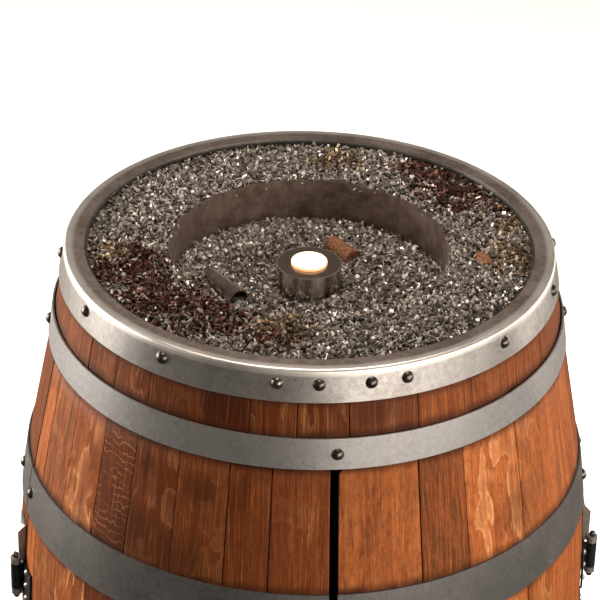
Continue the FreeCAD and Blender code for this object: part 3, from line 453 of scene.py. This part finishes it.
def chip_metal(name, dark, light):
    """Steel turnings: each chip between a dark and a light grey, many rusty or amber in the drifts."""
    made, tree = new_material(name)
    place = add(tree, "ShaderNodeTexCoord", output="Object")
    tone = add(tree, ATTRIBUTE, {}, "Fac", attribute_name="tone")
    chance = add(tree, ATTRIBUTE, {}, "Fac", attribute_name="chance")
    wander = add(tree, NOISE, {"Vector": place, "Scale": per_metre(36), "Detail": 4.0}, "Color")
    wander = add(tree, VECTOR, {0: wander, 1: (0.5, 0.5, 0.5)}, operation="SUBTRACT")
    wander = add(tree, VECTOR, {0: wander, "Scale": 0.11}, operation="SCALE")
    spot = add(tree, VECTOR, {0: place, 1: wander}, operation="ADD")

    def drift(patches):
        """Above nought for a coloured chip: most of them in the middle of a patch, none at its rim."""
        most = 0.78
        total = 0.0
        for x, y, reach in patches:
            away = add(tree, VECTOR, {0: spot, 1: (x, y, PATCH_HEIGHT)}, "Value", operation="DISTANCE")
            near = add(tree, RANGE, {0: away, 1: reach, 2: reach * 0.4}, **SOFT)
            total = add(tree, MATH, {0: near, 1: total}, operation="MAXIMUM")
        share = add(tree, MATH, {0: total, 1: most}, operation="MULTIPLY")
        return add(tree, MATH, {0: share, 1: chance}, operation="SUBTRACT")

    rust = drift(RUSTY_PATCHES)
    amber = drift(AMBER_PATCHES)
    grey = add(tree, MIX, {0: tone, 6: colour(dark), 7: colour(light)}, **BLEND)
    rusty = add(tree, MIX, {0: tone, 6: colour("#26130c"), 7: colour("#6c4433")}, **BLEND)
    gold = add(tree, MIX, {0: tone, 6: colour("#574533"), 7: colour("#a48b66")}, **BLEND)
    share = add(tree, RANGE, {0: rust, 1: -0.02, 2: 0.02})
    mixed = add(tree, MIX, {0: share, 6: grey, 7: rusty}, **BLEND)
    share = add(tree, RANGE, {0: amber, 1: 0.1, 2: 0.14})
    mixed = add(tree, MIX, {0: share, 6: mixed, 7: gold}, **BLEND)
    roughness = add(tree, RANGE, {0: tone, 3: 0.55, 4: 0.38})
    shade(tree, Base_Color=mixed, Metallic=0.6, Roughness=roughness)
    return made


def natural_cork():
    """Punched natural cork: warm brown grains with dark pits."""
    made, tree = new_material("natural_cork")
    place = add(tree, "ShaderNodeTexCoord", output="Object")
    grains = add(tree, NOISE, {"Vector": place, "Scale": per_metre(4), "Detail": 5.0})
    pits = add(tree, "ShaderNodeTexVoronoi", {"Vector": place, "Scale": per_metre(3)})
    spread = add(tree, RANGE, {0: grains, 1: 0.3, 2: 0.7})
    tone = add(tree, MIX, {0: spread, 6: colour("#4d2a13"), 7: colour("#93603a")}, **BLEND)
    dark = add(tree, RANGE, {0: pits, 1: 0.35, 2: 0.08})
    share = add(tree, MATH, {0: dark, 1: spread}, operation="MULTIPLY")
    tone = add(tree, MIX, {0: share, 6: tone, 7: colour("#43210d")}, **BLEND)
    bump = add(tree, "ShaderNodeBump", {"Strength": 0.8, "Distance": 0.001, "Height": grains})
    shade(tree, Base_Color=tone, Roughness=0.85, Normal=bump)
    return made


def moulded_plastic(name, base):
    """Moulded plastic with a fine grain in its gloss."""
    made, tree = new_material(name)
    place = add(tree, "ShaderNodeTexCoord", output="Object")
    grain = add(tree, NOISE, {"Vector": place, "Scale": per_metre(1.1), "Detail": 2.0})
    roughness = add(tree, RANGE, {0: grain, 3: 0.4, 4: 0.65})
    bump = add(tree, "ShaderNodeBump", {"Strength": 0.1, "Distance": 0.0002, "Height": grain})
    shade(tree, Base_Color=colour(base), Roughness=roughness, Normal=bump)
    return made


oak_wood = oak()
charred_wood = board_wood("charred_oak", "#120d0a", "#2a1f18")
inside_wood = board_wood("dark_pine_board", "#2d1c10", "#573a22")
bare_rim = rim_steel()
hoop_zinc = worn_steel("galvanised_hoop_steel", "#9e9b9a", "#c2bfbd", "#6a625c", rough=0.35)
# The other hoops take the same galvanised steel painted darker, as painted shade
darkened_hoop = worn_steel("shade_darkened_bilge_hoop_steel", "#6e6c6a", "#8e8c89", "#544d48", rough=0.35)
rivet_steel = worn_steel("dark_rivet_steel", "#3c3630", "#5d554d", "#2a211b", rough=0.3, mottle=3)
plate_zinc = worn_steel("galvanised_plate_steel", "#8b8984", "#b9b6b0", "#6b6259", rough=0.42, mottle=5)
pin_steel = worn_steel("oiled_pin_steel", "#2f2c2a", "#56504b", "#3d3029", rough=0.25, mottle=3)
black_iron = worn_steel("blackened_iron", "#1a1918", "#2f2d2b", "#2b211a", rough=0.5, mottle=4, metal=0.7)
screw_zinc = worn_steel("zinc_plated_screw", "#85837e", "#a9a69f", "#5b564f", rough=0.38, mottle=2)
pan_steel = worn_steel("bare_pan_steel", "#3b3631", "#57504a", "#33261d", rough=0.5, mottle=8)
ring_steel = worn_steel("bronzed_ring_steel", "#5c4b40", "#958378", "#43342a", rough=0.4, mottle=20)
tube_steel = worn_steel("dark_tube_steel", "#8f8278", "#c2b5aa", "#54463c", rough=0.18, mottle=4)
brushed_lamp = lamp_steel()
lens_glow = lit_lens()
# The well's chips are painted lighter than the outer ones to make up for the shade of the well's walls
outer_turnings = chip_metal("outer_steel_turnings", "#4e443c", "#c3bab0")
well_turnings = chip_metal("well_steel_turnings_painted_lighter", "#5c5148", "#d6cdc3")
cork = natural_cork()
black_plastic = moulded_plastic("black_moulded_plastic", "#1c1b1a")
board_plastic = moulded_plastic("green_circuit_board", "#24573a")
cell_sleeve = moulded_plastic("grey_cell_sleeve", "#6d7276")


# Staves

def add_stave(bm, start, end, bottom, top, traits, chance, rounding):
    """One stave between two angles in degrees; its top left corner has a rounding, which can be nought."""
    layers = [bm.verts.layers.float[name] for name in STAVE_LAYERS]
    place_layer = bm.loops.layers.uv["stave"]
    middle = radians(start + end) / 2
    half = radians(end - start) / 2
    *look, seam = traits
    gap = SEAM_GAP_LEAST + SEAM_GAP_MORE * seam
    corner = SEAM_CORNER_LEAST + SEAM_CORNER_MORE * seam
    edge_reach = 0.0026
    step = 0.022
    corner_turns = 6

    # Each stave stands a little in or out, and takes its grain from another part of the pattern
    lift = chance.uniform(-0.0008, 0.0001)
    shift = (chance.uniform(0, 40), chance.uniform(0, 40))
    straight = top - bottom - rounding
    count = max(2, round(straight / step))
    heights = [bottom + straight * station / count for station in range(count + 1)]
    if rounding:
        for turn in range(1, corner_turns + 1):
            heights.append(top - rounding * (1 - sin(turn * pi / 2 / corner_turns)))

    # One ring of points at each height: broken edges at both sides, a front in four strips and a back
    rings = []
    for height in heights:
        radius = skin_radius(height)
        rise = max(0, height - top + rounding)
        inset = rounding - sqrt(max(0, rounding ** 2 - rise ** 2))
        width = half * radius - gap
        side = [(width, corner, 1), (width - 0.3 * corner, 0.3 * corner, 0.8), (width - corner, 0, 0.35),
                (width - edge_reach, 0, 0)]
        section = [(inset - across, depth, edge) for across, depth, edge in side]
        section += [(share * (width - edge_reach), 0, 0) for share in (-0.5, 0, 0.5)]
        section += side[::-1]
        section += [(width + gap, STAVE_THICKNESS, 1), (inset - width - gap, STAVE_THICKNESS, 1)]
        row = []
        for across, depth, edge in section:
            vert = bm.verts.new(bearing(middle + across / radius, radius - depth + lift, height))
            for layer, value in zip(layers, (*look, edge * seam)):
                vert[layer] = value
            row.append((vert, (across + shift[0], height + shift[1])))
        rings.append(row)

    # Faces between the rings, with the charred back as the second material, and the two ends
    size = len(rings[0])
    for low, high in zip(rings, rings[1:]):
        for index in range(size):
            after = (index + 1) % size
            corners = [low[index], low[after], high[after], high[index]]
            face = bm.faces.new([vert for vert, _ in corners])
            face.smooth = True
            face.material_index = 1 if index == size - 2 else 0
            for loop, (_, place) in zip(face.loops, corners):
                loop[place_layer].uv = place
    for row in (rings[0], rings[-1]):
        face = bm.faces.new([vert for vert, _ in row])
        for loop, (_, place) in zip(face.loops, row):
            loop[place_layer].uv = place


def staves(name, node, body, joints, span, seed, traits=None, first_rounding=0):
    """Object of staves side by side that stands for a node."""
    bm = bmesh.new()
    for layer in STAVE_LAYERS:
        bm.verts.layers.float.new(layer)
    bm.loops.layers.uv.new("stave")
    chance = random.Random(seed)
    for index, (start, end) in enumerate(zip(joints, joints[1:])):
        character = [chance.uniform(low, high) for low, high in PLAIN_TRAITS]
        rounding = 0 if index else first_rounding
        add_stave(bm, start, end, *span, traits[index] if traits else character, chance, rounding)
    made = new_object(name, bm, [oak_wood, charred_wood])
    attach(made, body)
    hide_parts(node)


rear_edge = DOOR_HALF + SIDE_GAP
door_edge = DOOR_HALF - SIDE_GAP
rear_count, footer_count = 19, 15
rear_joints = [rear_edge + (360 - 2 * rear_edge) * i / rear_count for i in range(rear_count + 1)]
footer_joints = [-rear_edge + 2 * rear_edge * i / footer_count for i in range(footer_count + 1)]
door_span = (DOOR_BOTTOM, DOOR_TOP)
staves("rear_stave_wood", "rear_staves", "barrel", rear_joints, (STAVE_BOTTOM, STAVE_TOP), seed=3)
staves("footer_stave_wood", "footer_staves", "barrel", footer_joints, (STAVE_BOTTOM, FOOTER_TOP), seed=7)
staves("header_stave_wood", "header_staves", "barrel", [-rear_edge, *HEADER_JOINTS, rear_edge],
       (HEADER_BOTTOM, STAVE_TOP), seed=5, traits=HEADER_TRAITS)
staves("left_door_wood", "left_door_staves", "left_door", [-door_edge, *LEFT_JOINTS, -CENTRE_GAP],
       door_span, seed=11, traits=LEFT_TRAITS)
staves("right_door_wood", "right_door_staves", "right_door", [CENTRE_GAP, *RIGHT_JOINTS, door_edge],
       door_span, seed=13, traits=RIGHT_TRAITS, first_rounding=DOOR_CORNER)


# Rim and foot

def rim_profile():
    """Section of the rim: points of radius and height, each with True where the edge is sharp."""
    top = BARREL_HEIGHT
    under = top - RIM_THICKNESS
    low = top - RIM_BAND
    outside = HOOP_CLEARANCE + RIM_THICKNESS
    foot_of_band = Vector((skin_radius(low, outside), low))
    corner = Vector((skin_radius(top, outside), top))
    flange_edge = corner.x - RIM_FLANGE
    up = (corner - foot_of_band).normalized()
    inwards = Vector((-1, 0))
    half = inwards.angle(-up) / 2
    reach = RIM_CORNER / tan(half)
    centre = corner + (inwards - up).normalized() * RIM_CORNER / sin(half)

    # The corner is an arc, with a point beside each end that keeps the flat parts flat
    support = 0.001
    steps = 8
    start = corner - up * reach - centre
    sweep = pi - 2 * half
    arc = []
    for step in range(steps + 1):
        turn = sweep * step / steps
        arc.append(centre + Vector((start.x * cos(turn) - start.y * sin(turn),
                                    start.x * sin(turn) + start.y * cos(turn))))
    smooth = [arc[0] - up * support, *arc, arc[-1] + inwards * support]
    inside = [Vector((flange_edge, top)), Vector((flange_edge, under)),
              Vector((skin_radius(under, HOOP_CLEARANCE), under)),
              Vector((skin_radius(low, HOOP_CLEARANCE), low))]
    return [(foot_of_band, True), *((point, False) for point in smooth), *((point, True) for point in inside)]


def rim_ring(name, node, upside_down):
    """Hoop with a flange as one turned ring that stands for a node."""
    bm = bmesh.new()
    turns = 240
    profile = rim_profile()
    rings = []
    for turn in range(turns):
        angle = 2 * pi * turn / turns
        ring = []
        for point, _ in profile:
            height = BARREL_HEIGHT - point.y if upside_down else point.y
            ring.append(bm.verts.new(bearing(angle, point.x, height)))
        rings.append(ring)
    size = len(profile)
    for one, other in zip(rings, rings[1:] + rings[:1]):
        for index in range(size):
            after = (index + 1) % size
            bm.faces.new([one[index], other[index], other[after], one[after]]).smooth = True
        for index, (_, sharp) in enumerate(profile):
            bm.edges.get((one[index], other[index])).smooth = not sharp
    made = new_object(name, bm, [bare_rim])
    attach(made, "barrel")
    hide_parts(node)


rim_ring("rim_hoop_steel", "rim_hoop", upside_down=False)
rim_ring("foot_hoop_steel", "foot_hoop", upside_down=True)


# Chips

def chip_shape(name, length, width, curl, taper, steps, collection):
    """Thin bent flake one unit or so long, closed, curled along X by an angle."""
    bm = bmesh.new()
    half_thickness = 0.025
    skew = 0.12
    reach = length / curl
    rows = []
    for step in range(steps + 1):
        share = step / steps - 0.5
        turn = curl * share
        centre = Vector((reach * sin(turn), skew * share, reach * (cos(turn) - 1)))
        out = Vector((sin(turn), 0, cos(turn)))
        half = width * (1 - taper * abs(share)) / 2
        rows.append([bm.verts.new(centre + out * side * half_thickness + Vector((0, across * half, 0)))
                     for across, side in ((-1, -1), (1, -1), (1, 1), (-1, 1))])
    for low, high in zip(rows, rows[1:]):
        for index in range(4):
            after = (index + 1) % 4
            bm.faces.new([low[index], low[after], high[after], high[index]])
    bm.faces.new(rows[0])
    bm.faces.new(rows[-1])
    flake = new_object(name, bm, [])
    bpy.context.scene.collection.objects.unlink(flake)
    collection.objects.link(flake)


def chip_scatter():
    """Node group that strews chips of mixed shapes, turns and sizes over a bed."""
    tree = bpy.data.node_groups.new("chip_scatter", "GeometryNodeTree")
    sockets = {"Bed": "Geometry", "Shapes": "Collection", "Density": "Float", "Smallest": "Float",
               "Largest": "Float", "Depth": "Float", "Seed": "Int", "Finish": "Material"}
    for name, kind in sockets.items():
        tree.interface.new_socket(name, in_out="INPUT", socket_type="NodeSocket" + kind)
    tree.interface.new_socket("Chips", in_out="OUTPUT", socket_type="NodeSocketGeometry")
    given = tree.nodes.new("NodeGroupInput").outputs
    seed = given["Seed"]

    # A random value has number limits at 2 and 3, whole number limits at 4 and 5 and its seed at 8
    random_value = "FunctionNodeRandomValue"
    last_shape = 3
    full_turn = (2 * pi, 2 * pi, 2 * pi)
    points = add(tree, "GeometryNodeDistributePointsOnFaces",
                 {"Mesh": given["Bed"], "Density": given["Density"], "Seed": seed})
    sink = add(tree, random_value, {2: given["Depth"], 3: 0.0, 8: seed}, 1)
    offset = add(tree, "ShaderNodeCombineXYZ", {"Z": sink})
    points = add(tree, "GeometryNodeSetPosition", {"Geometry": points, "Offset": offset})
    shapes = add(tree, "GeometryNodeCollectionInfo",
                 {"Collection": given["Shapes"], "Separate Children": True, "Reset Children": True})
    pick = add(tree, random_value, {4: 0, 5: last_shape, 8: seed}, 2, data_type="INT")
    turn = add(tree, random_value, {1: full_turn, 8: seed}, data_type="FLOAT_VECTOR")
    size = add(tree, random_value, {2: given["Smallest"], 3: given["Largest"], 8: seed}, 1)
    strewn = add(tree, "GeometryNodeInstanceOnPoints",
                 {"Points": points, "Instance": shapes, "Pick Instance": True, "Instance Index": pick,
                  "Rotation": turn, "Scale": size})

    # Each chip carries its tone and its chance of a colour
    for attribute, shift in (("tone", 100), ("chance", 200)):
        own_seed = add(tree, MATH, {0: seed, 1: shift}, operation="ADD")
        share = add(tree, random_value, {2: 0.0, 3: 1.0, 8: own_seed}, 1)
        strewn = add(tree, "GeometryNodeStoreNamedAttribute",
                     {"Geometry": strewn, "Name": attribute, "Value": share},
                     data_type="FLOAT", domain="INSTANCE")

    whole = add(tree, "GeometryNodeRealizeInstances", {"Geometry": strewn})
    whole = add(tree, "GeometryNodeSetMaterial", {"Geometry": whole, "Material": given["Finish"]})
    add(tree, "NodeGroupOutput", {"Chips": whole})
    return tree


def bed_surface(name, inner, outer, height_at):
    """Ring of ground under the chips, its height given by a function of angle and radius."""
    bm = bmesh.new()
    turns, rings = 144, 12
    rows = []
    for ring in range(rings + 1):
        radius = inner + (outer - inner) * ring / rings
        row = []
        for turn in range(turns):
            angle = 2 * pi * turn / turns
            row.append(bm.verts.new(bearing(angle, radius, height_at(angle, radius))))
        rows.append(row)
    for low, high in zip(rows, rows[1:]):
        for turn in range(turns):
            after = (turn + 1) % turns
            bm.faces.new([low[turn], low[after], high[after], high[turn]]).smooth = True
    return new_object(name, bm, [pan_steel])


def strew(name, bed, scatter, settings):
    """Chips over a bed as one plain mesh."""
    modifier = bed.modifiers.new("chips", "NODES")
    modifier.node_group = scatter
    for item in scatter.interface.items_tree:
        if item.in_out == "INPUT" and item.name in settings:
            modifier[item.identifier] = settings[item.name]
    graph = bpy.context.evaluated_depsgraph_get()
    mesh = bpy.data.meshes.new_from_object(bed.evaluated_get(graph), depsgraph=graph)
    bed.modifiers.remove(modifier)
    mesh.name = name
    made = bpy.data.objects.new(name, mesh)
    bpy.context.scene.collection.objects.link(made)
    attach(made, "barrel")


def mound(angle, radius, middle, spread, count, start):
    """Height at a point of the shallow domes that stand evenly round a circle."""
    step = 2 * pi / count
    turn = (angle - start + step / 2) % step - step / 2
    away = sqrt(middle ** 2 + radius ** 2 - 2 * middle * radius * cos(turn))
    if away > spread:
        return 0
    dome_radius = (spread ** 2 + MOUND_HEIGHT ** 2) / (2 * MOUND_HEIGHT)
    return sqrt(dome_radius ** 2 - away ** 2) - dome_radius + MOUND_HEIGHT


def outer_height(angle, radius):
    """Outer bed: shallow mounds, heaped over the ring at the front right."""
    facing = max(0, cos(angle - HEAP_BEARING))
    nearness = max(0, 1 - (radius - WELL_RADIUS) / HEAP_REACH)
    return OUTER_GROUND + HEAP_HEIGHT * facing * nearness + mound(angle, radius, **OUTER_MOUNDS)


def well_height(angle, radius):
    """Well bed: shallow mounds round the lamp."""
    return WELL_GROUND + mound(angle, radius, **WELL_MOUNDS)


flakes = bpy.data.collections.new("chip_shapes")
chip_shape("flake_curl", length=1.6, width=0.4, curl=4.6, taper=0.3, steps=5, collection=flakes)
chip_shape("flake_bent", length=1.1, width=0.6, curl=1.8, taper=0.6, steps=3, collection=flakes)
chip_shape("flake_sliver", length=1.5, width=0.26, curl=2.6, taper=0.2, steps=4, collection=flakes)
chip_shape("flake_crumb", length=0.8, width=0.5, curl=1.2, taper=0.4, steps=2, collection=flakes)
scatter = chip_scatter()
ring_outside = WELL_RADIUS + RING_THICKNESS + GROUND_CLEARANCE
outer_bed = bed_surface("outer_bed_ground", ring_outside, OUTER_GROUND_RADIUS, outer_height)
well_bed = bed_surface("well_bed_ground", LAMP_RADIUS + GROUND_CLEARANCE, WELL_RADIUS - GROUND_CLEARANCE,
                       well_height)
for bed, node in ((outer_bed, "outer_chip_bed"), (well_bed, "well_chip_bed")):
    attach(bed, "barrel")
    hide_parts(node)
sizes = {"Shapes": flakes, "Smallest": 0.006, "Largest": 0.0135}
outer_settings = {**sizes, "Density": 32000.0, "Finish": outer_turnings}
well_settings = {**sizes, "Density": 42000.0, "Finish": well_turnings}
strew("outer_chips_lower", outer_bed, scatter, {**outer_settings, "Depth": -0.002, "Seed": 1})
strew("outer_chips_middle", outer_bed, scatter, {**outer_settings, "Depth": 0.002, "Seed": 2})
strew("outer_chips_upper", outer_bed, scatter, {**outer_settings, "Depth": 0.004, "Seed": 3})
strew("well_chips_lower", well_bed, scatter, {**well_settings, "Depth": 0.001, "Seed": 4})
strew("well_chips_upper", well_bed, scatter, {**well_settings, "Depth": 0.0025, "Seed": 5})


# Finishes of the solids that show as they are, by the end of the name; the first that fits is taken

FINISHES = (
    ("rivets", rivet_steel), ("screws", screw_zinc), ("bolts", screw_zinc), ("strike_plate", screw_zinc),
    ("quarter_hoop", hoop_zinc), ("_hoop", darkened_hoop), ("door_leaf", black_iron), ("_leaf", plate_zinc),
    ("handle", black_iron), ("hinge_pins", pin_steel), ("catch_magnets", screw_zinc), ("top_pan", pan_steel),
    ("well_ring", ring_steel), ("lamp_housing", brushed_lamp), ("lamp_lens", lens_glow),
    ("lamp_base", black_plastic), ("lamp_cells", cell_sleeve), ("lamp_light_board", board_plastic),
    ("display_tube", tube_steel), ("cork", cork), ("_head", inside_wood), ("shelf", inside_wood),
    ("_cleat", inside_wood), ("door_ribs", inside_wood),
)
for name, node in nodes.items():
    finish = next((made for ending, made in FINISHES if name.endswith(ending)), None)
    if finish:
        node.data.materials.clear()
        node.data.materials.append(finish)


# Stage: pale floor, soft lights and the camera of the photograph

def pale_floor():
    """Large matt floor: pale to the eye, dim in what the metal mirrors."""
    bm = bmesh.new()
    reach = 9.0
    corners = ((-reach, -reach), (reach, -reach), (reach, reach), (-reach, reach))
    bm.faces.new([bm.verts.new((x, y, 0)) for x, y in corners])
    made, tree = new_material("pale_floor")
    seen = add(tree, "ShaderNodeLightPath", {}, "Is Camera Ray")
    tone = add(tree, MIX, {0: seen, 6: colour("#2f2a25"), 7: colour("#f4f1ed")}, **BLEND)
    glow = add(tree, MATH, {0: seen, 1: 0.52}, operation="MULTIPLY")
    shade(tree, Base_Color=tone, Roughness=0.9, Emission_Color=colour("#fbf8f4"), Emission_Strength=glow)
    new_object("floor", bm, [made])


def soft_light(name, place, width, height, power, tint):
    """Soft light with an oblong face, aimed at the barrel."""
    lamp = bpy.data.lights.new(name, "AREA")
    lamp.shape = "RECTANGLE"
    lamp.size = width
    lamp.size_y = height
    lamp.energy = power
    lamp.color = colour(tint)[:3]
    holder = bpy.data.objects.new(name, lamp)
    holder.location = place
    holder.rotation_mode = "QUATERNION"
    holder.rotation_quaternion = (Vector(LIGHT_TARGET) - Vector(place)).to_track_quat("-Z", "Y")
    bpy.context.scene.collection.objects.link(holder)


def photo_camera():
    """Camera at the photograph's angle, rolled a little as it is there."""
    lens = bpy.data.cameras.new("photo_camera")
    lens.sensor_width = 36
    lens.lens = CAMERA_LENS
    lens.clip_end = 50
    holder = bpy.data.objects.new("photo_camera", lens)
    aim = Vector(CAMERA_AIM) - Vector(CAMERA_PLACE)
    holder.location = CAMERA_PLACE
    holder.rotation_mode = "QUATERNION"
    roll = Quaternion((0, 0, 1), radians(CAMERA_ROLL))
    holder.rotation_quaternion = aim.to_track_quat("-Z", "Y") @ roll
    bpy.context.scene.collection.objects.link(holder)
    bpy.context.scene.camera = holder


pale_floor()
soft_light("left_softbox", (-2.2, 0.85, 1.15), width=1.9, height=1.3, power=140, tint="#fff8f0")
soft_light("right_softbox", (1.72, -1.97, 1.28), width=3.9, height=1.2, power=138, tint="#fff6ec")
soft_light("top_softbox", (0.1, 0.3, 3.4), width=1.4, height=1.4, power=62, tint="#fff4ea")
soft_light("rear_softbox", (2.3, 0.9, 0.75), width=1.7, height=1.0, power=30, tint="#fff6ec")
world = bpy.data.worlds.new("studio")
world.use_nodes = True
background = world.node_tree.nodes["Background"].inputs
background["Color"].default_value = colour("#cfc8c0")
background["Strength"].default_value = 0.13
bpy.context.scene.world = world
bpy.context.scene.view_settings.view_transform = "Standard"
photo_camera()
